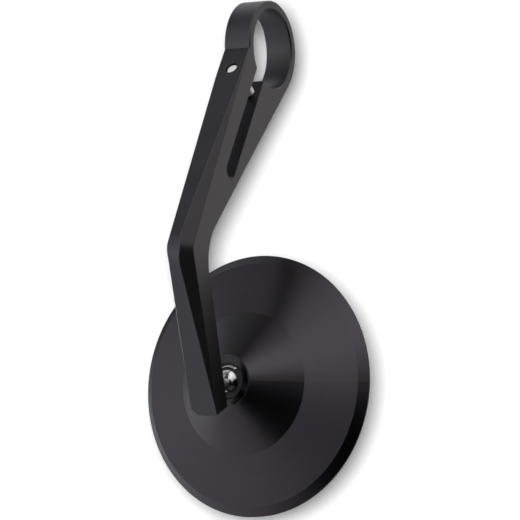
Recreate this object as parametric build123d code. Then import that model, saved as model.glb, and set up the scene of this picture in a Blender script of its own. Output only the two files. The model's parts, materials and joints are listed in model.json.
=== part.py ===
from build123d import *
import math
import os

# Bar end mirror in millimetres. The origin is the centre of the clamp bore, X runs along the
# handlebar, Z is up, the back of the mirror faces -Y and the glass faces +Y.

# clamp ring
bore_d = 30.0
ring_wall = 3.2
arm_width = 11.0
edge_break = 0.4

# side outline of the arm, as (Y, Z) points
kink = (-20.9, -6.1)
bend_ridge = (-67.9, -80.2)
tip = (-42.6, -140.3)
heel = (-35.0, -136.9)
rear_bend = (-51.65, -78.8)
ridge_radius = 14.0
rear_radius = 18.5

# bevel facets on both sides of the ridge
ridge_flat = 3.8
facet_drop = 6.4
facet_runout = 4.0
facet_round = 10.0
far_corner = 5.0
near_corner = 0.8

# clamp slot, measured along and across its own direction
slot_angle = 30.9
slot_width = 6.7
slot_offset = -2.9
slot_length = 62.5

# pinch screw
screw_d = 5.0
screw_length = 20.0
screw_drop = 19.9
screw_tip_depth = 1.6
screw_head_d = 8.5
screw_head_h = 5.0
screw_key = 4.0
screw_key_depth = 2.5
thread_fit = 0.05
shank_clear = 0.25
head_clear = 0.25

# ball joint, its stud square to the arm's rear face
stud_from_heel = 6.55
stud_reach = 13.63
ball_d = 10.0
neck_d = 4.8
flange_d = 8.4
flange_h = 1.6
stud_thread_d = 5.0
stud_thread_length = 6.4
stud_hole_extra = 0.6
ball_fit = 0.05
liner_wall = 1.5
lip_angle = 74.0
liner_back_angle = 32.0

# housing, turned a little about the upright and tilted back; depths count from the ball centre
head_turn = 4.1
head_tilt = 2.5
apex_depth = -2.0
apex_flat = 0.45
cone_edge_r = 26.8
cone_edge_depth = 9.2
bevel_width = 3.3
bevel_depth = 16.0
rim_depth = 18.6
rim_edge = 0.5
rim_taper = 0.9
lip_wall = 1.05
lip_over = 0.3
dish_wall = 2.8
ledge_width = 3.85
ledge_drop = 0.6
shoulder_depth = 1.2
shoulder_width = 1.65
boss_wall = 3.0
boss_over = 0.7

# ball joint stack inside the housing
stack_fit = 0.05
lip_bevel = 0.6
collar_wall = 2.7
collar_flange_h = 3.0
seat_nose = 1.4
seat_gap = 0.3
seat_flange_h = 2.0
spring_clear = 1.5
spring_inner_r = 4.6
spring_t = 0.8
spring_cone = 0.6
nut_h = 3.4
nut_bore_r = 5.0
nut_slot_w = 3.0
nut_slot_depth = 1.6

# glass
glass_d = 94.0
glass_edge = 1.2
glass_curve = 1400.0
glass_gap = 0.15
tape_t = 0.4
tape_inset = 0.4

half_width = arm_width / 2
bore_r = bore_d / 2
ring_r = bore_r + ring_wall
ball_r = ball_d / 2
screw_r = screw_d / 2
glass_r = glass_d / 2
liner_in_r = ball_r + ball_fit
liner_out_r = liner_in_r + liner_wall
socket_r = liner_out_r + ball_fit
lip_depth = liner_in_r * math.cos(math.radians(lip_angle))
hole_r = socket_r + collar_wall + stack_fit
apex_r = hole_r + apex_flat
joint_bore_r = hole_r + shoulder_width
collar_back = shoulder_depth + collar_flange_h
seat_back = collar_back + seat_gap + seat_flange_h
spring_h = spring_t + spring_cone
spring_outer_r = joint_bore_r - spring_clear
nut_back = seat_back + 2 * spring_h + nut_h
recess_r = glass_r + glass_gap
ledge_inner_r = recess_r - ledge_width
back_r = recess_r + lip_wall
rim_r = back_r + rim_taper
bevel_r = rim_r - bevel_width

slot_down = Vector(0, -math.sin(math.radians(slot_angle)), -math.cos(math.radians(slot_angle)))
slot_across = Vector(0, math.cos(math.radians(slot_angle)), -math.sin(math.radians(slot_angle)))
mirror_side = Vector(math.cos(math.radians(head_turn)), -math.sin(math.radians(head_turn)), 0)
mirror_axis = Vector(0, 1, 0).rotate(Axis.X, -head_tilt).rotate(Axis.Z, -head_turn)
rear_run = Vector(0, heel[0] - rear_bend[0], heel[1] - rear_bend[1]).normalized()
stud_axis = Vector(0, rear_run.Z, -rear_run.Y)
ball_centre = Vector(0, heel[0], heel[1]) - rear_run * stud_from_heel - stud_axis * stud_reach


def slot_point(along, across):
    """Point in the middle plane, counted down the slot and square to it from the bore centre."""
    return slot_down * along + slot_across * across


def ridge_across(along):
    """Where the front face of the upper arm lies at this distance down the slot."""
    a = Vector(0, kink[0], kink[1])
    b = Vector(0, bend_ridge[0], bend_ridge[1])
    share = (along - a.dot(slot_down)) / (b - a).dot(slot_down)
    return a.dot(slot_across) + share * (b - a).dot(slot_across)


def cone_depth(radius):
    """Depth of the housing's outer surface at this radius."""
    if radius < cone_edge_r:
        share = (radius - apex_r) / (cone_edge_r - apex_r)
        return apex_depth + share * (cone_edge_depth - apex_depth)
    share = (radius - cone_edge_r) / (bevel_r - cone_edge_r)
    return cone_edge_depth + share * (bevel_depth - cone_edge_depth)


screw_tip = ridge_across(screw_drop) + screw_tip_depth
screw_seat = screw_tip + screw_length
ledge_depth = cone_depth(ledge_inner_r) + dish_wall + ledge_drop
glass_back = ledge_depth + tape_t


def rod(origin, direction, radius, length):
    return Plane(origin=origin, z_dir=direction) * Cylinder(
        radius, length, align=(Align.CENTER, Align.CENTER, Align.MIN))


def turned(outline, origin, x_dir, axis_dir):
    """Turns a closed outline of (radius, distance along the axis) into a solid."""
    side = Vector(x_dir).cross(Vector(axis_dir))
    frame = Plane(origin=origin, x_dir=x_dir, z_dir=side)
    return revolve(frame * make_face(outline), Axis(origin, axis_dir), 360)


def on_mirror_axis(outline):
    return turned(outline, ball_centre, mirror_side, mirror_axis)


def ball_point(radius, angle):
    """Radius and depth of a point on a sphere round the ball centre, angle from the front."""
    return (radius * math.sin(math.radians(angle)), -radius * math.cos(math.radians(angle)))


def ball_arc(radius, start, end):
    points = [ball_point(radius, a) for a in (start, (start + end) / 2, end)]
    return ThreePointArc(*points)


def lip_cut(radius):
    """Angle at which a sphere round the ball centre meets the flat front of the liner."""
    return math.degrees(math.acos(lip_depth / radius))


def arm_outline():
    """Side outline of the arm: a bar that leaves the ring tangentially and bends once."""
    run_out = math.hypot(*rear_bend)
    angle = math.atan2(rear_bend[1], rear_bend[0]) + math.acos(ring_r / run_out)
    tangent = (ring_r * math.cos(angle), ring_r * math.sin(angle))
    front = (kink[0] - bend_ridge[0], kink[1] - bend_ridge[1])
    reach = -(kink[0] * front[0] + kink[1] * front[1]) / (front[0] ** 2 + front[1] ** 2)
    inside = (kink[0] + reach * front[0], kink[1] + reach * front[1])
    bar = make_face(Polyline(tangent, rear_bend, heel, tip, bend_ridge, inside, (0, 0), close=True))
    for point, radius in ((bend_ridge, ridge_radius), (rear_bend, rear_radius)):
        corner = bar.vertices().sort_by_distance((point[0], point[1], 0))[0]
        bar = fillet(corner, radius)
    return bar + Circle(ring_r)


def facet_tool(side):
    """Double wedge that bevels the front of the arm, deepest at the bend, gone at both ends."""
    crease = Vector(side * ridge_flat / 2, bend_ridge[0], bend_ridge[1])
    low = Vector(side * half_width, bend_ridge[0] + facet_drop, bend_ridge[1])
    out = Vector(side * arm_width, bend_ridge[0] - half_width, bend_ridge[1])
    top_end = Vector(side * half_width, kink[0], kink[1])
    low_end = Vector(side * half_width, tip[0], tip[1])
    low_end += (low_end - Vector(low_end.X, bend_ridge[0], bend_ridge[1])).normalized() * facet_runout
    faces = []
    for end in (top_end, low_end):
        for points in ((end, crease, low), (end, low, out), (end, out, crease)):
            faces.append(Face(Wire.make_polygon(points, close=True)))
    return Solid(Shell(faces))


def end_corner_tool(side, radius):
    """What a rounded corner takes off one side of the arm's lower end."""
    along = Vector(0, heel[0] - tip[0], heel[1] - tip[1])
    plane = Plane(origin=(0, *tip), x_dir=(side, 0, 0), z_dir=along)
    inset = radius * (1 - math.sqrt(0.5))
    start = (half_width, -side * radius)
    end = (half_width - radius, 0)
    wide = half_width + radius
    outline = (ThreePointArc(start, (half_width - inset, -side * inset), end)
               + Polyline(end, (end[0], side * radius), (wide, side * radius), (wide, start[1]), start))
    return extrude(plane * make_face(outline), 2 * along.length, both=True)


def slot_tool():
    low = slot_offset - slot_width / 2
    high = slot_offset + slot_width / 2
    root = slot_length - slot_width / 2
    corners = [(0, low), (root, low), (slot_length, slot_offset), (root, high), (0, high)]
    flat = [slot_point(*c) for c in corners]
    p = [(v.Y, v.Z) for v in flat]
    outline = Polyline(p[0], p[1]) + ThreePointArc(p[1], p[2], p[3]) + Polyline(p[3], p[4], p[0])
    return extrude(Plane.YZ * make_face(outline), arm_width, both=True)


def bore_tool():
    """Clamp bore with a small break at both ends."""
    wide = bore_r + edge_break + 1
    end = half_width + 1
    near = half_width - edge_break
    outline = Polyline((0, -end), (wide, -end), (bore_r, -near), (bore_r, near), (wide, end), (0, end),
                       close=True)
    return turned(outline, (0, 0, 0), (0, 1, 0), (1, 0, 0))


def screw_holes():
    front = ridge_across(screw_drop)
    start = slot_point(screw_drop, front - 1)
    thread = rod(start, slot_across, screw_r + thread_fit, slot_offset - front + 1)
    shank = rod(slot_point(screw_drop, slot_offset), slot_across, screw_r + shank_clear, 4 * bore_r)
    head = rod(slot_point(screw_drop, screw_seat), slot_across, screw_head_d / 2 + head_clear, 4 * bore_r)
    return thread + shank + head


def clamp_arm():
    """Flat bar with broken edges, bevelled front, rounded lower end, clamp bore, slot and holes."""
    body = extrude(Plane.YZ * arm_outline(), half_width, both=True)
    rims = []
    for side in (-1, 1):
        lower_end = (side * half_width, (tip[0] + heel[0]) / 2, (tip[1] + heel[1]) / 2)
        rims += body.faces().sort_by(Axis.X)[-1 if side > 0 else 0].edges().sort_by_distance(lower_end)[1:]
    body = chamfer(rims, edge_break)
    for side in (-1, 1):
        body -= facet_tool(side)
        bend = (side * (half_width + ridge_flat / 2) / 2, bend_ridge[0] + facet_drop / 2, bend_ridge[1])
        body = fillet(body.edges().sort_by_distance(bend)[0], facet_round)
    body -= end_corner_tool(-1, far_corner)
    body -= end_corner_tool(1, near_corner)
    body -= bore_tool()
    body -= slot_tool()
    body -= screw_holes()
    foot = ball_centre + stud_axis * (stud_reach - 1)
    depth = 1 + stud_thread_length + stud_hole_extra
    return body - rod(foot, stud_axis, stud_thread_d / 2 + thread_fit, depth)


def pinch_screw():
    """Socket head cap screw, its tip set back in the front leg."""
    head_r = screw_head_d / 2
    top = screw_length + screw_head_h
    outline = Polyline((0, 0), (screw_r - edge_break, 0), (screw_r, edge_break), (screw_r, screw_length),
                       (head_r, screw_length), (head_r, top - edge_break), (head_r - edge_break, top),
                       (0, top), close=True)
    origin = slot_point(screw_drop, screw_tip)
    screw = turned(outline, origin, (1, 0, 0), slot_across)
    floor = origin + slot_across * (top - screw_key_depth)
    key = RegularPolygon(screw_key / 2, 6, major_radius=False)
    return screw - extrude(Plane(origin=floor, x_dir=(1, 0, 0), z_dir=slot_across) * key, screw_head_h)


def ball_stud():
    """Ball, neck, flange that sits on the arm and a threaded end inside it."""
    neck_r = neck_d / 2
    flange_r = flange_d / 2
    thread_r = stud_thread_d / 2
    top = stud_reach - flange_h
    end = stud_reach + stud_thread_length
    neck_angle = 180 - math.degrees(math.asin(neck_r / ball_r))
    neck = ball_point(ball_r, neck_angle)
    rest = Polyline(neck, (neck_r, top), (flange_r, top), (flange_r, stud_reach), (thread_r, stud_reach),
                    (thread_r, end - edge_break), (thread_r - edge_break, end), (0, end), (0, -ball_r))
    arc = ball_arc(ball_r, 0, neck_angle)
    return turned(arc + rest, ball_centre, (1, 0, 0), stud_axis)


def ball_liner():
    """Thin shell between the ball and its socket, cut flat in front and open at the back."""
    back = 180 - liner_back_angle
    lip = lip_cut(liner_out_r)
    outline = (ball_arc(liner_out_r, lip, back)
               + Polyline(ball_point(liner_out_r, back), ball_point(liner_in_r, back))
               + ball_arc(liner_in_r, back, lip_angle)
               + Polyline(ball_point(liner_in_r, lip_angle), ball_point(liner_out_r, lip)))
    return on_mirror_axis(outline)


def ball_collar():
    """Retaining collar, flush with the housing in front, with a flange behind its shoulder."""
    angle = lip_cut(socket_r)
    lip = ball_point(socket_r, angle)
    body_r = hole_r - stack_fit
    flange_r = joint_bore_r - stack_fit
    outline = (Polyline(lip, (lip[0] + lip_bevel, apex_depth), (body_r, apex_depth), (body_r, shoulder_depth),
                        (flange_r, shoulder_depth), (flange_r, collar_back), (socket_r, collar_back),
                        (socket_r, 0))
               + ball_arc(socket_r, 90, angle))
    return on_mirror_axis(outline)


def pressure_seat():
    """Cup that the springs push against the back of the liner."""
    nose_depth = collar_back - seat_nose
    nose_in = math.sqrt(socket_r ** 2 - nose_depth ** 2)
    hole_depth = math.sqrt(socket_r ** 2 - spring_inner_r ** 2)
    start = math.degrees(math.atan2(nose_in, -nose_depth))
    end = math.degrees(math.atan2(spring_inner_r, -hole_depth))
    nose_r = socket_r - stack_fit
    flange_r = joint_bore_r - stack_fit
    flange = collar_back + seat_gap
    outline = (ball_arc(socket_r, end, start)
               + Polyline((nose_in, nose_depth), (nose_r, nose_depth), (nose_r, flange), (flange_r, flange),
                          (flange_r, seat_back), (spring_inner_r, seat_back), (spring_inner_r, hole_depth)))
    return on_mirror_axis(outline)


def disc_spring(start, way):
    """Conical spring washer between two depths, its wide edge first (way 1) or last (way -1)."""
    middle = start + spring_h / 2
    rim = middle - way * spring_h / 2
    eye = middle + way * spring_h / 2
    outline = Polyline((spring_outer_r, rim), (spring_outer_r, rim + way * spring_t), (spring_inner_r, eye),
                       (spring_inner_r, eye - way * spring_t), close=True)
    return on_mirror_axis(outline)


def retainer_nut():
    """Threaded ring with two cross slots for a spanner."""
    start = nut_back - nut_h
    outer = joint_bore_r - stack_fit
    nut = on_mirror_axis(Polyline((nut_bore_r, start), (outer, start), (outer, nut_back),
                                  (nut_bore_r, nut_back), close=True))
    face = Plane(origin=ball_centre + mirror_axis * nut_back, x_dir=mirror_side, z_dir=mirror_axis)
    for wide, tall in ((4 * outer, nut_slot_w), (nut_slot_w, 4 * outer)):
        nut -= face * Box(wide, tall, 2 * nut_slot_depth)
    return nut


def mirror_housing():
    """Turned dish with two cone slopes, a bevelled rim, a ledge for the glass and a central boss."""
    boss_r = joint_bore_r + boss_wall
    boss_depth = nut_back + boss_over
    back_depth = glass_back + glass_edge + lip_over
    inner = [(r, cone_depth(r) + dish_wall) for r in (ledge_inner_r, cone_edge_r, boss_r)]
    face = [(hole_r, apex_depth), (apex_r, apex_depth), (cone_edge_r, cone_edge_depth),
            (bevel_r, bevel_depth), (rim_r, rim_depth), (rim_r, rim_depth + rim_edge), (back_r, back_depth)]
    recess = [(recess_r, back_depth), (recess_r, ledge_depth), (ledge_inner_r, ledge_depth)]
    boss = [(boss_r, boss_depth), (joint_bore_r, boss_depth), (joint_bore_r, shoulder_depth),
            (hole_r, shoulder_depth)]
    return on_mirror_axis(Polyline(*face, *recess, *inner, *boss, close=True))


def adhesive_ring():
    """Double-sided tape ring that holds the glass on the ledge."""
    inner = ledge_inner_r + tape_inset
    outer = glass_r - tape_inset
    return on_mirror_axis(Polyline((inner, ledge_depth), (outer, ledge_depth), (outer, glass_back),
                                   (inner, glass_back), close=True))


def mirror_glass():
    """Round mirror with a slightly domed face."""
    edge = glass_back + glass_edge
    rise = glass_curve - math.sqrt(glass_curve ** 2 - glass_r ** 2)
    half_rise = rise - (glass_curve - math.sqrt(glass_curve ** 2 - (glass_r / 2) ** 2))
    outline = (Polyline((0, edge + rise), (0, glass_back), (glass_r, glass_back), (glass_r, edge))
               + ThreePointArc((glass_r, edge), (glass_r / 2, edge + half_rise), (0, edge + rise)))
    return on_mirror_axis(outline)


os.makedirs("parts", exist_ok=True)
export_step(clamp_arm(), "parts/clamp_arm.step")
export_step(pinch_screw(), "parts/pinch_screw.step")
export_step(ball_stud(), "parts/ball_stud.step")
export_step(ball_liner(), "parts/ball_liner.step")
export_step(ball_collar(), "parts/ball_collar.step")
export_step(pressure_seat(), "parts/pressure_seat.step")
export_step(disc_spring(seat_back, 1), "parts/disc_spring_front.step")
export_step(disc_spring(seat_back + spring_h, -1), "parts/disc_spring_rear.step")
export_step(retainer_nut(), "parts/retainer_nut.step")
export_step(mirror_housing(), "parts/mirror_housing.step")
export_step(adhesive_ring(), "parts/adhesive_ring.step")
export_step(mirror_glass(), "parts/mirror_glass.step")
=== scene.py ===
import json
import math

import bmesh
import bpy
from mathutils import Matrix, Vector


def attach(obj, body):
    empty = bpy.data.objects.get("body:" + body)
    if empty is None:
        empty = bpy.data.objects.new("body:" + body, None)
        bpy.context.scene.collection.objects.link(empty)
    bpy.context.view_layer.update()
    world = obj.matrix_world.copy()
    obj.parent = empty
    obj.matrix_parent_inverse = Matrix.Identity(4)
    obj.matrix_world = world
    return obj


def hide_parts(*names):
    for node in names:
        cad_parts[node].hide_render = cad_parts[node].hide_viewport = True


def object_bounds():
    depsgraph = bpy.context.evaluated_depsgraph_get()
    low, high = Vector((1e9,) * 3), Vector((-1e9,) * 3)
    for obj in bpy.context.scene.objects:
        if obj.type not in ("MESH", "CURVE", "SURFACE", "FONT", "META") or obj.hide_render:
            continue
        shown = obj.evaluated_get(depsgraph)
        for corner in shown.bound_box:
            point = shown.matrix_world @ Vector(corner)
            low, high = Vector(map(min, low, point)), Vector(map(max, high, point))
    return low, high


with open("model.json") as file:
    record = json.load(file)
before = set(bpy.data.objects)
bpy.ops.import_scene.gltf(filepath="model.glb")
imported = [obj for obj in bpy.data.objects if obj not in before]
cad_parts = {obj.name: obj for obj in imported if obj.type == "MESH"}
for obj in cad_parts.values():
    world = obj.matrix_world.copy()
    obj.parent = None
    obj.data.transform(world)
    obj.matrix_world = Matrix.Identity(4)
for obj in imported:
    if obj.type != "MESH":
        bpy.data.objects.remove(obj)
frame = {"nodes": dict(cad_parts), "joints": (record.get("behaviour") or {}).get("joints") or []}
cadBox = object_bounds()
nodes = frame["nodes"]
mm = 0.001
upright = Vector((0.0, 0.0, 1.0))

joints = {joint["name"]: joint for joint in frame["joints"]}
ballCentre = Vector(joints["mirror_spin"]["pos_m"])
mirrorAxis = Vector(joints["mirror_spin"]["axis"]).normalized()
scene = bpy.context.scene
scene.view_settings.view_transform = "Standard"
print("frame: loaded", len(nodes), "nodes")


class Wire:  # a node socket that takes part in Python sums
    def __init__(self, tree, socket):
        self.tree = tree
        self.socket = socket

    def maths(self, operation, *terms):
        return self.tree.node("ShaderNodeMath", {"operation": operation}, dict(enumerate(terms)))

    def __add__(self, other):
        return self.maths("ADD", self, other)

    def __radd__(self, other):
        return self.maths("ADD", other, self)

    def __sub__(self, other):
        return self.maths("SUBTRACT", self, other)

    def __rsub__(self, other):
        return self.maths("SUBTRACT", other, self)

    def __mul__(self, other):
        return self.maths("MULTIPLY", self, other)

    def __rmul__(self, other):
        return self.maths("MULTIPLY", other, self)

    def __truediv__(self, other):
        return self.maths("DIVIDE", self, other)

    def __rtruediv__(self, other):
        return self.maths("DIVIDE", other, self)

    def root(self):
        return self.maths("SQRT", self)


class Tree:  # a node tree, filled by one method
    def __init__(self, owner):
        owner.use_nodes = True
        self.nodes = owner.node_tree.nodes
        self.links = owner.node_tree.links
        self.nodes.clear()

    def node(self, kind, settings=None, sockets=None, out=0):
        made = self.nodes.new(kind)
        for name, value in (settings or {}).items():
            setattr(made, name, value)
        for name, value in (sockets or {}).items():
            if isinstance(value, Wire):
                self.links.new(value.socket, made.inputs[name])
            else:
                made.inputs[name].default_value = value
        return Wire(self, made.outputs[out]) if made.outputs else None

    def where(self):  # the point on the piece, in its own frame
        return self.node("ShaderNodeTexCoord", out="Object")

    def vector(self, operation, first, second=(0.0, 0.0, 0.0), out=0):
        return self.node("ShaderNodeVectorMath", {"operation": operation}, {0: first, 1: second}, out)

    def noise(self, point, scale, detail=2.0, rough=0.5):
        sockets = {"Vector": point, "Scale": scale, "Detail": detail, "Roughness": rough}
        return self.node("ShaderNodeTexNoise", None, sockets)

    def blend(self, factor, first, second, kind="RGBA"):
        a, b, out = {"VECTOR": (4, 5, 1), "RGBA": (6, 7, 2)}[kind]  # the sockets for that kind
        return self.node("ShaderNodeMix", {"data_type": kind}, {0: factor, a: first, b: second}, out)

    def step(self, value, low, high):  # 0 below low, 1 above high, smooth between
        settings = {"interpolation_type": "SMOOTHSTEP"}
        return self.node("ShaderNodeMapRange", settings, {"Value": value, "From Min": low, "From Max": high})

    def softEdge(self, radius):  # normals that round the piece's edges
        return self.node("ShaderNodeBevel", {"samples": 6}, {"Radius": radius})

    def bump(self, height, depth, normal=None):
        sockets = {"Strength": 1.0, "Distance": depth, "Height": height}
        if normal:
            sockets["Normal"] = normal
        return self.node("ShaderNodeBump", None, sockets)

    def surface(self, **sockets):
        named = {name.replace("_", " "): value for name, value in sockets.items()}
        shader = self.node("ShaderNodeBsdfPrincipled", None, named)
        self.node("ShaderNodeOutputMaterial", None, {"Surface": shader})


def rgb(red, green, blue):
    return (red, green, blue, 1.0)


def newFinish(name):
    made = bpy.data.materials.new(name)
    return made, Tree(made)


def dress(node, material):
    slots = nodes[node].data.materials
    slots.clear()
    slots.append(material)


def fromAxis(tree):  # distance from the mirror's axis and depth along it, in millimetres
    reach = tree.vector("SUBTRACT", tree.where(), tuple(ballCentre))
    depth = tree.vector("DOT_PRODUCT", reach, tuple(mirrorAxis), "Value")
    square = tree.vector("DOT_PRODUCT", reach, reach, "Value")
    return (square - depth * depth).root() / mm, depth / mm


def bridge(mesh, rows, closed=True):  # faces between each row of corners and the next
    count = len(rows[0])
    for low, high in zip(rows, rows[1:]):
        for i in range(count if closed else count - 1):
            j = (i + 1) % count
            mesh.faces.new((low[i], low[j], high[j], high[i]))


def newPiece(name, mesh, material, sharp=180.0):  # edges that turn by more than sharp stay crisp
    data = bpy.data.meshes.new(name)
    mesh.to_mesh(data)
    mesh.free()
    data.shade_smooth()
    data.set_sharp_from_angle(angle=math.radians(sharp))
    data.materials.append(material)
    made = bpy.data.objects.new(name, data)
    scene.collection.objects.link(made)
    return made


# anodised black metal of the arm, matt from blasting
armFinish = {
    "dark": rgb(0.0680, 0.0648, 0.0692),
    "light": rgb(0.0835, 0.0790, 0.0847),
    "rough": 0.40,
    "grainScale": 7000.0,
    "grainDepth": 0.006 * mm,
    "grainRough": 0.10,  # how far the grain moves the roughness
    "cloudScale": 70.0,
    "cloudRough": 0.06,
    "edge": 0.35 * mm,
}


def armBlack():
    s = armFinish
    material, tree = newFinish("armBlack")
    point = tree.where()
    grain = tree.noise(point, s["grainScale"], 3.0, 0.6)
    cloud = tree.noise(point, s["cloudScale"], 3.0)
    tree.surface(
        Base_Color=tree.blend(cloud, s["dark"], s["light"]),
        Metallic=1.0,
        Roughness=s["rough"] + s["grainRough"] * (grain - 0.5) + s["cloudRough"] * (cloud - 0.5),
        Normal=tree.bump(grain, s["grainDepth"], tree.softEdge(s["edge"])),
    )
    return material


# the turned housing and collar carry fine tool lines round the mirror's axis;
# each has two shades and a roughness
turnedFinish = {
    "housing": (rgb(0.0535, 0.0485, 0.0545), rgb(0.0640, 0.0580, 0.0650), 0.30),
    "collar": (rgb(0.036, 0.034, 0.037), rgb(0.044, 0.042, 0.045), 0.16),
    "linesPerMm": 5.0,
    "lineDepth": 0.0012 * mm,
    "lineRough": 0.06,
    "depthShare": 0.3,  # lines run on along the axis too, but wider
    "bandsPerMm": 0.35,
    "bandShare": 0.4,  # of the change in shade, and the clouds have the rest
    "cloudScale": 45.0,
    "cloudRough": 0.05,
    "edge": 0.20 * mm,
}


def turnedBlack(piece):
    s = turnedFinish
    dark, light, rough = s[piece]
    material, tree = newFinish(piece + "Black")
    away, depth = fromAxis(tree)
    track = tree.node("ShaderNodeCombineXYZ", None, {0: away, 1: depth * s["depthShare"]})
    lines = tree.noise(track, s["linesPerMm"], 2.0, 0.7)
    bands = tree.noise(track, s["bandsPerMm"], 1.0)
    cloud = tree.noise(tree.where(), s["cloudScale"], 2.0)
    shade = (1 - s["bandShare"]) * cloud + s["bandShare"] * bands
    tree.surface(
        Base_Color=tree.blend(shade, dark, light),
        Metallic=1.0,
        Roughness=rough + s["lineRough"] * (lines - 0.5) + s["cloudRough"] * (cloud - 0.5),
        Normal=tree.bump(lines, s["lineDepth"], tree.softEdge(s["edge"])),
    )
    return material


# polished steel of the ball, duller on its stem
ballFinish = {
    "bright": rgb(0.66, 0.65, 0.64),
    "dull": rgb(0.54, 0.53, 0.52),
    "rough": 0.14,
    "stemRough": 0.14,  # on top of the ball's
    "stemFrom": 5.05,  # from the ball's centre, just outside its radius
    "stemFull": 5.25,
    "smearScale": 900.0,
    "smearRough": 0.06,
}


def polishedSteel():
    s = ballFinish
    material, tree = newFinish("polishedSteel")
    point = tree.where()
    reach = tree.vector("SUBTRACT", point, tuple(ballCentre))
    away = tree.vector("LENGTH", reach, out="Value") / mm
    onStem = tree.step(away, s["stemFrom"], s["stemFull"])
    smear = tree.noise(point, s["smearScale"], 4.0, 0.65)
    tree.surface(
        Base_Color=tree.blend(smear, s["bright"], s["dull"]),
        Metallic=1.0,
        Roughness=s["rough"] + s["smearRough"] * smear + s["stemRough"] * onStem,
    )
    return material


# silvered glass, with a thin bluish ground edge
glassFinish = {
    "silver": rgb(0.86, 0.88, 0.90),
    "edge": rgb(0.16, 0.22, 0.21),
    "edgeFrom": 46.5,  # from the axis; the glass ends at 47
    "edgeFull": 46.7,
    "edgeMetal": 0.2,
    "edgeRough": 0.25,
    "rough": 0.012,
    "filmScale": 130.0,
    "filmRough": 0.014,
    "front": 20.893,  # depth of the middle of the face
    "curve": 1400.0,
}


def silverGlass():
    s = glassFinish
    material, tree = newFinish("silverGlass")
    point = tree.where()
    onEdge = tree.step(fromAxis(tree)[0], s["edgeFrom"], s["edgeFull"])
    film = tree.noise(point, s["filmScale"], 4.0, 0.6)
    # the true normal of the domed face points away from the middle of its sphere
    middle = ballCentre + mirrorAxis * (s["front"] - s["curve"]) * mm
    outward = tree.vector("SUBTRACT", point, tuple(middle))
    toWorld = {"vector_type": "NORMAL", "convert_from": "OBJECT", "convert_to": "WORLD"}
    dome = tree.node("ShaderNodeVectorTransform", toWorld, {"Vector": outward})
    plain = tree.node("ShaderNodeNewGeometry", out="Normal")
    tree.surface(
        Base_Color=tree.blend(onEdge, s["silver"], s["edge"]),
        Metallic=1.0 - (1 - s["edgeMetal"]) * onEdge,
        Roughness=s["rough"] + s["filmRough"] * film + s["edgeRough"] * onEdge,
        Normal=tree.blend(onEdge, dome, plain, "VECTOR"),
    )
    return material


# plain moulded, sprung and foamed pieces round and behind the ball: two shades, metal, roughness and shine
innerFinish = {
    "liner": (rgb(0.008, 0.008, 0.008), rgb(0.015, 0.015, 0.014), 0.0, 0.32, 0.12),
    "seat": (rgb(0.11, 0.11, 0.11), rgb(0.15, 0.15, 0.15), 0.0, 0.50, 0.50),
    "spring": (rgb(0.34, 0.35, 0.38), rgb(0.44, 0.45, 0.48), 1.0, 0.32, 0.50),
    "nut": (rgb(0.66, 0.66, 0.67), rgb(0.76, 0.76, 0.77), 1.0, 0.30, 0.50),
    "tape": (rgb(0.035, 0.035, 0.035), rgb(0.06, 0.06, 0.06), 0.0, 0.85, 0.50),
    "grainScale": 1500.0,
    "grainDepth": 0.004 * mm,
    "grainRough": 0.12,
}


def innerPiece(kind):
    s = innerFinish
    dark, light, metal, rough, shine = s[kind]
    material, tree = newFinish(kind + "Finish")
    grain = tree.noise(tree.where(), s["grainScale"], 4.0, 0.6)
    tree.surface(
        Base_Color=tree.blend(grain, dark, light),
        Metallic=metal,
        Roughness=rough + s["grainRough"] * (grain - 0.5),
        Specular_IOR_Level=shine,
        Normal=tree.bump(grain, s["grainDepth"]),
    )
    return material


# socket head cap screw with a rolled thread and a knurled head; heights count from its tip
screwSetup = {
    "tip": Vector((0.0, -21.634, -10.244)) * mm,
    "axis": Vector((0.0, 0.85806, -0.51354)),
    "radius": 2.48,
    "length": 20.0,
    "bevel": 0.4,
    "pitch": 0.8,
    "threadDepth": 0.42,
    "threadEnd": 16.5,
    "stepsPerTurn": 10,
    "grooveTop": 1.15,  # the groove's flanks meet here, and are cut off at 1
    "grooveSlope": 3.2,
    "headRadius": 4.23,
    "headHeight": 5.0,
    "headEdge": 0.2,  # bevel under the head
    "knurls": 44,
    "knurlDepth": 0.11,
    "knurlRunOut": 0.15,
    "keyAcross": 4.0,
    "keyDepth": 2.5,
    "keyMouth": 2.44,  # radius of the bevel round the key
    "keyMouthDepth": 0.15,
    "drillPoint": 0.4,  # below the floor of the key
    "sharp": 32.0,
    "bright": rgb(0.86, 0.85, 0.83),
    "dull": rgb(0.72, 0.71, 0.70),
    "smearScale": 1200.0,
    "smearDepth": 0.003 * mm,
    "smearRough": 0.14,
    "tipMetal": 0.35,  # the cut end is paler and more matt than the shank
    "tipRough": 0.60,
    "shankRough": 0.38,
    "shankFrom": 0.05,
    "shankFull": 0.20,
}


def screwSteel():
    s = screwSetup
    material, tree = newFinish("screwSteel")
    point = tree.where()
    smear = tree.noise(point, s["smearScale"], 4.0, 0.65)
    reach = tree.vector("SUBTRACT", point, tuple(s["tip"]))
    height = tree.vector("DOT_PRODUCT", reach, tuple(s["axis"]), "Value") / mm
    onShank = tree.step(height, s["shankFrom"], s["shankFull"])
    gloss = s["tipRough"] - s["shankRough"]
    tree.surface(
        Base_Color=tree.blend(smear, s["bright"], s["dull"]),
        Metallic=s["tipMetal"] + (1 - s["tipMetal"]) * onShank,
        Roughness=s["tipRough"] - gloss * onShank + s["smearRough"] * smear,
        Normal=tree.bump(smear, s["smearDepth"]),
    )
    return material


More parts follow.
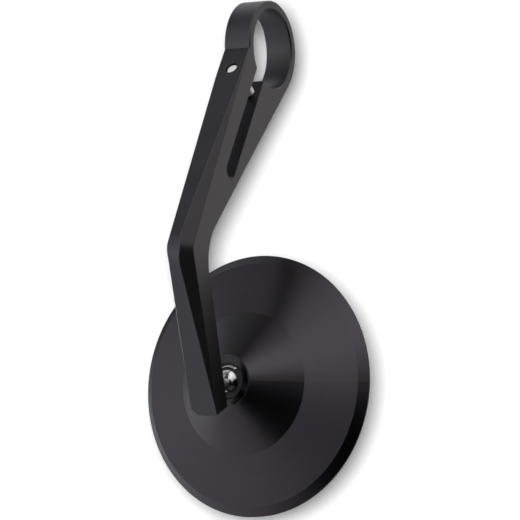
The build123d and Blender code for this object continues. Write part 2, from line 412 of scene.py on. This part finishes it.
def screwRings():  # (height, radius as a function of the angle), from the tip to the floor of the key
    s = screwSetup
    r = s["radius"]
    head = s["headRadius"]
    under = s["length"] + s["headEdge"]
    top = s["length"] + s["headHeight"]
    rim = top - s["bevel"]
    threadLength = s["threadEnd"] - s["bevel"]

    def plain(radius):
        return lambda angle: radius

    def thread(height):
        fade = min(1.0, (height - s["bevel"]) / s["pitch"], max(0.0, (s["threadEnd"] - height) / s["pitch"]))

        def radius(angle):
            turn = (height / s["pitch"] - angle / (2 * math.pi)) % 1.0
            groove = min(1.0, max(0.0, s["grooveTop"] - abs(turn - 0.5) * s["grooveSlope"]))
            return r - s["threadDepth"] * groove * fade
        return radius

    def knurl(angle):
        tooth = (angle * s["knurls"] / (2 * math.pi)) % 1.0
        return head - s["knurlDepth"] * abs(2 * tooth - 1)

    def key(angle):  # a hexagon
        return s["keyAcross"] / 2 / math.cos((angle + math.pi / 6) % (math.pi / 3) - math.pi / 6)

    rings = [(0.0, plain(r - s["bevel"])), (s["bevel"], plain(r))]
    steps = int(threadLength / s["pitch"] * s["stepsPerTurn"])
    for i in range(1, steps + 1):
        height = s["bevel"] + threadLength * i / steps
        rings.append((height, thread(height)))
    rings += [
        (s["length"], plain(r)),
        (s["length"], plain(head - s["headEdge"])),
        (under, plain(head)),
        (under + s["knurlRunOut"], knurl),
        (rim - s["knurlRunOut"], knurl),
        (rim, plain(head)),
        (top, plain(head - s["bevel"])),
        (top, plain(s["keyMouth"])),
        (top - s["keyMouthDepth"], key),
        (top - s["keyDepth"], key),
    ]
    return rings


def capScrew(material):
    s = screwSetup
    across = Vector((1.0, 0.0, 0.0))
    up = s["axis"].cross(across)
    count = 2 * s["knurls"]  # a corner on the crest and in the root of each knurl
    angles = [2 * math.pi * i / count for i in range(count)]
    mesh = bmesh.new()

    def point(height, radius, angle):
        away = across * math.cos(angle) + up * math.sin(angle)
        return mesh.verts.new(s["tip"] + (s["axis"] * height + away * radius) * mm)

    rings = screwRings()
    rows = []
    for height, radius in rings:
        rows.append([point(height, radius(angle), angle) for angle in angles])
    bridge(mesh, rows)
    tipCentre = point(0.0, 0.0, 0.0)
    keyFloor = point(rings[-1][0] - s["drillPoint"], 0.0, 0.0)
    for i in range(count):
        j = (i + 1) % count
        mesh.faces.new((rows[0][j], rows[0][i], tipCentre))
        mesh.faces.new((rows[-1][i], rows[-1][j], keyFloor))
    bmesh.ops.recalc_face_normals(mesh, faces=mesh.faces)
    screw = newPiece("capScrew", mesh, material, s["sharp"])
    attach(screw, "arm")
    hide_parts("pinch_screw")


dress("clamp_arm", armBlack())
dress("mirror_housing", turnedBlack("housing"))
dress("ball_collar", turnedBlack("collar"))
dress("ball_stud", polishedSteel())
dress("mirror_glass", silverGlass())
dress("ball_liner", innerPiece("liner"))
dress("pressure_seat", innerPiece("seat"))
dress("retainer_nut", innerPiece("nut"))
dress("adhesive_ring", innerPiece("tape"))
spring = innerPiece("spring")
dress("disc_spring_front", spring)
dress("disc_spring_rear", spring)
plated = screwSteel()
dress("pinch_screw", plated)
print("finishes: all nodes dressed")

capScrew(plated)

# thin bright steel arc on the liner's front, a painted highlight: it stands in for the highlight on the
# liner's rim, so it is open on the right and below, where that highlight does not fall, and bevelled
# outwards
highlightArcSetup = {
    # corners of its section, as radius and depth from the ball's centre
    "section": [(6.32, -1.30), (6.32, -1.45), (5.62, -2.20), (5.50, -2.28), (5.34, -2.20), (5.30, -1.30)],
    # the opening is where the rim shows no highlight; the painted highlight covers the rest
    "opening": (40.0, 205.0),  # degrees clockwise from the top
    "steps": 120,
    "sharp": 35.0,
    "bright": rgb(0.62, 0.61, 0.60),
    "dull": rgb(0.48, 0.475, 0.47),
    "rough": 0.20,
    "streaksPerMm": 9.0,
    "streakRough": 0.10,
}


# bright steel of the arc that paints the highlight on the liner's rim
def highlightArcSteel():
    s = highlightArcSetup
    material, tree = newFinish("highlightArcSteel")
    away, depth = fromAxis(tree)
    track = tree.node("ShaderNodeCombineXYZ", None, {0: away, 1: depth})
    streak = tree.noise(track, s["streaksPerMm"], 2.0, 0.6)
    tree.surface(
        Base_Color=tree.blend(streak, s["bright"], s["dull"]),
        Metallic=1.0,
        Roughness=s["rough"] + s["streakRough"] * streak,
    )
    return material


# builds the painted highlight: a bright arc laid only where the liner's rim catches light
def linerHighlightArc():
    s = highlightArcSetup
    across = mirrorAxis.cross(upright).normalized()  # to the right, seen from behind the mirror
    up = across.cross(mirrorAxis)
    first, last = s["opening"]
    mesh = bmesh.new()
    rows = []
    for i in range(s["steps"] + 1):
        turn = math.radians(last + (360 + first - last) * i / s["steps"])
        out = up * math.cos(turn) + across * math.sin(turn)
        row = []
        for radius, depth in s["section"]:
            row.append(mesh.verts.new(ballCentre + (out * radius + mirrorAxis * depth) * mm))
        rows.append(row)
    bridge(mesh, rows)
    mesh.faces.new(rows[0])
    mesh.faces.new(rows[-1])
    bmesh.ops.recalc_face_normals(mesh, faces=mesh.faces)
    paintedArc = newPiece("linerHighlightArc", mesh, highlightArcSteel(), s["sharp"])
    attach(paintedArc, "liner")


linerHighlightArc()
print("pieces: cap screw and liner clip made")


def towards(azimuth, elevation):  # azimuth 0 is the -Y side, 90 the +X side
    a = math.radians(azimuth)
    e = math.radians(elevation)
    return Vector((math.sin(a) * math.cos(e), -math.cos(a) * math.cos(e), math.sin(e)))


cameraSetup = {
    "azimuth": 28.4,
    "elevation": -5.0,
    "distance": 1500.0 * mm,
    "target": Vector((-3.36, 6.07, -79.25)) * mm,
    "pixelsPerMm": 2.644,
    "framePixels": 520,
    "sensorWidth": 36.0,
    "clipEnd": 20.0,
}


def placeCamera():
    s = cameraSetup
    data = bpy.data.cameras.new("viewCamera")
    camera = bpy.data.objects.new("viewCamera", data)
    scene.collection.objects.link(camera)
    back = towards(s["azimuth"], s["elevation"])
    camera.location = s["target"] + back * s["distance"]
    camera.rotation_euler = (-back).to_track_quat("-Z", "Y").to_euler()
    span = s["framePixels"] / s["pixelsPerMm"] * mm
    data.sensor_width = s["sensorWidth"]
    data.lens = s["sensorWidth"] * s["distance"] / span
    data.clip_end = s["clipEnd"]
    scene.camera = camera


placeCamera()

# a paper sweep: floor under the part and a wall close behind it, seen only from its front
paperSetup = {
    "floorDrop": 180.0 * mm,
    "wallBehind": 260.0 * mm,
    "corner": 60.0 * mm,
    "cornerSteps": 12,
    "halfWidth": 300.0 * mm,
    "floorReach": 150.0 * mm,
    "wallTop": 500.0 * mm,
    "colour": rgb(0.93, 0.93, 0.93),
}


def paperFinish():
    material, tree = newFinish("paper")
    paper = tree.node("ShaderNodeBsdfDiffuse", None, {"Color": paperSetup["colour"]})
    away = tree.node("ShaderNodeBsdfTransparent")
    backSide = tree.node("ShaderNodeNewGeometry", out="Backfacing")
    shown = tree.node("ShaderNodeMixShader", None, {0: backSide, 1: paper, 2: away})
    tree.node("ShaderNodeOutputMaterial", None, {"Surface": shown})
    return material


def paperSweep():
    s = paperSetup
    back = towards(cameraSetup["azimuth"], 0.0)
    side = upright.cross(back) * s["halfWidth"]
    floorZ = cadBox[0].z - s["floorDrop"]
    profile = [(s["floorReach"], floorZ)]
    for i in range(s["cornerSteps"] + 1):  # quarter round between floor and wall
        turn = math.radians(90 * i / s["cornerSteps"])
        reach = s["corner"] * (1 - math.sin(turn)) - s["wallBehind"]
        profile.append((reach, floorZ + s["corner"] * (1 - math.cos(turn))))
    profile.append((-s["wallBehind"], s["wallTop"]))
    mesh = bmesh.new()
    rows = []
    for reach, height in profile:
        middle = back * reach + upright * height
        rows.append([mesh.verts.new(middle - side), mesh.verts.new(middle + side)])
    bridge(mesh, rows, closed=False)
    sweep = newPiece("paperSweep", mesh, paperFinish())
    sweep.visible_glossy = False  # the dome stands for the room in every reflection


paperSweep()

# the studio round the part: one pale dome with soft cards, each at (azimuth, elevation) with its inner
# and outer half angle and its level; a later card covers an earlier one
studioSetup = {
    "dome": 0.75,
    "fill": 0.10,
    "cool": rgb(0.97, 0.99, 1.05),
    "warm": rgb(1.02, 1.00, 0.98),
    "warmSide": 120.0,
    "warmFrom": -0.2,  # cosine of the angle to the warm side
    "warmFull": 0.7,
    "cards": [
        (15, 30, 20, 35, 1.35),    # top light over the camera
        (-20, 5, 5, 25, 1.55),     # pale wall left of the camera
        (-65, 50, 15, 25, 0.35),   # dim corner on the left
        (-5, 75, 10, 40, 0.20),    # dim ceiling behind the top light
        (90, 60, 30, 40, 1.35),    # top light on the right
        (110, 15, 15, 55, 0.60),   # pale paper on the right
        (-135, 20, 25, 35, 0.10),  # dim wall behind on the left
        (-45, 5, 0, 40, 0.95),     # pale wall on the left
        (-30, 25, 0, 20, 0.45),    # dim gap above it
        (-5, -40, 0, 35, 0.65),    # grey floor on the left
        (-90, -15, 5, 25, 1.00),   # pale paper low on the left
        (25, -5, 10, 30, 0.00),    # dark room behind the camera
        (25, -30, 20, 40, 0.00),   # dark floor before the camera
        (20, -85, 10, 35, 0.00),   # dark floor below
        (85, -15, 30, 40, 0.00),   # dark floor on the right
        (60, -60, 15, 30, 0.05),   # and between the two
        (-140, -5, 10, 20, 4.50),  # strip of bright paper behind on the left
        (180, 55, 10, 50, 1.05),   # lighter above, seen in the glass
        (180, -45, 10, 45, 0.40),  # and darker below
    ],
}


def studioDome():
    s = studioSetup
    world = bpy.data.worlds.new("studio")
    scene.world = world
    tree = Tree(world)
    way = tree.node("ShaderNodeTexCoord", out="Generated")
    level = s["dome"]
    for azimuth, elevation, inner, outer, strength in s["cards"]:
        near = tree.vector("DOT_PRODUCT", way, tuple(towards(azimuth, elevation)), "Value")
        card = tree.step(near, math.cos(math.radians(outer)), math.cos(math.radians(inner)))
        level = level * (1 - card) + strength * card
    seen = tree.node("ShaderNodeLightPath", out="Is Camera Ray")
    glossy = tree.node("ShaderNodeLightPath", out="Is Glossy Ray")
    through = tree.node("ShaderNodeLightPath", out="Is Transmission Ray")
    mirrored = glossy.maths("MAXIMUM", glossy, through)
    strength = seen + mirrored * level + (1 - seen) * (1 - mirrored) * s["fill"]
    right = tree.vector("DOT_PRODUCT", way, tuple(towards(s["warmSide"], 0.0)), "Value")
    tint = tree.blend(tree.step(right, s["warmFrom"], s["warmFull"]), s["cool"], s["warm"])
    colour = tree.blend(seen, tint, rgb(1.0, 1.0, 1.0))
    sky = tree.node("ShaderNodeBackground", None, {"Color": colour, "Strength": strength})
    tree.node("ShaderNodeOutputWorld", None, {"Surface": sky})


studioDome()

# soft lamps: a small one beside the camera throws the narrow shadow on the wall,
# and one overhead lights the floor
lampSetup = {
    "left": 15.6 * mm,  # from the camera
    "above": 15.2 * mm,
    "radius": 32.0 * mm,
    "power": 121.0,
    "overhead": (-20.0, 80.0),
    "overheadSpread": 20.0,
    "overheadStrength": 0.2,
}


def softLamps():
    s = lampSetup
    camera = scene.camera
    bulb = bpy.data.lights.new("cameraLamp", "POINT")
    bulb.energy = s["power"]
    bulb.shadow_soft_size = s["radius"]
    cameraLamp = bpy.data.objects.new("cameraLamp", bulb)
    aside = camera.matrix_basis.to_3x3() @ Vector((-s["left"], s["above"], 0.0))
    cameraLamp.location = camera.location + aside
    softbox = bpy.data.lights.new("overheadLamp", "SUN")
    softbox.energy = s["overheadStrength"]
    softbox.angle = math.radians(s["overheadSpread"])
    overheadLamp = bpy.data.objects.new("overheadLamp", softbox)
    overheadLamp.rotation_euler = towards(*s["overhead"]).to_track_quat("Z", "Y").to_euler()
    for lamp in (cameraLamp, overheadLamp):
        lamp.visible_glossy = False
        scene.collection.objects.link(lamp)


softLamps()
print("stage: camera, paper, dome and lamps set")
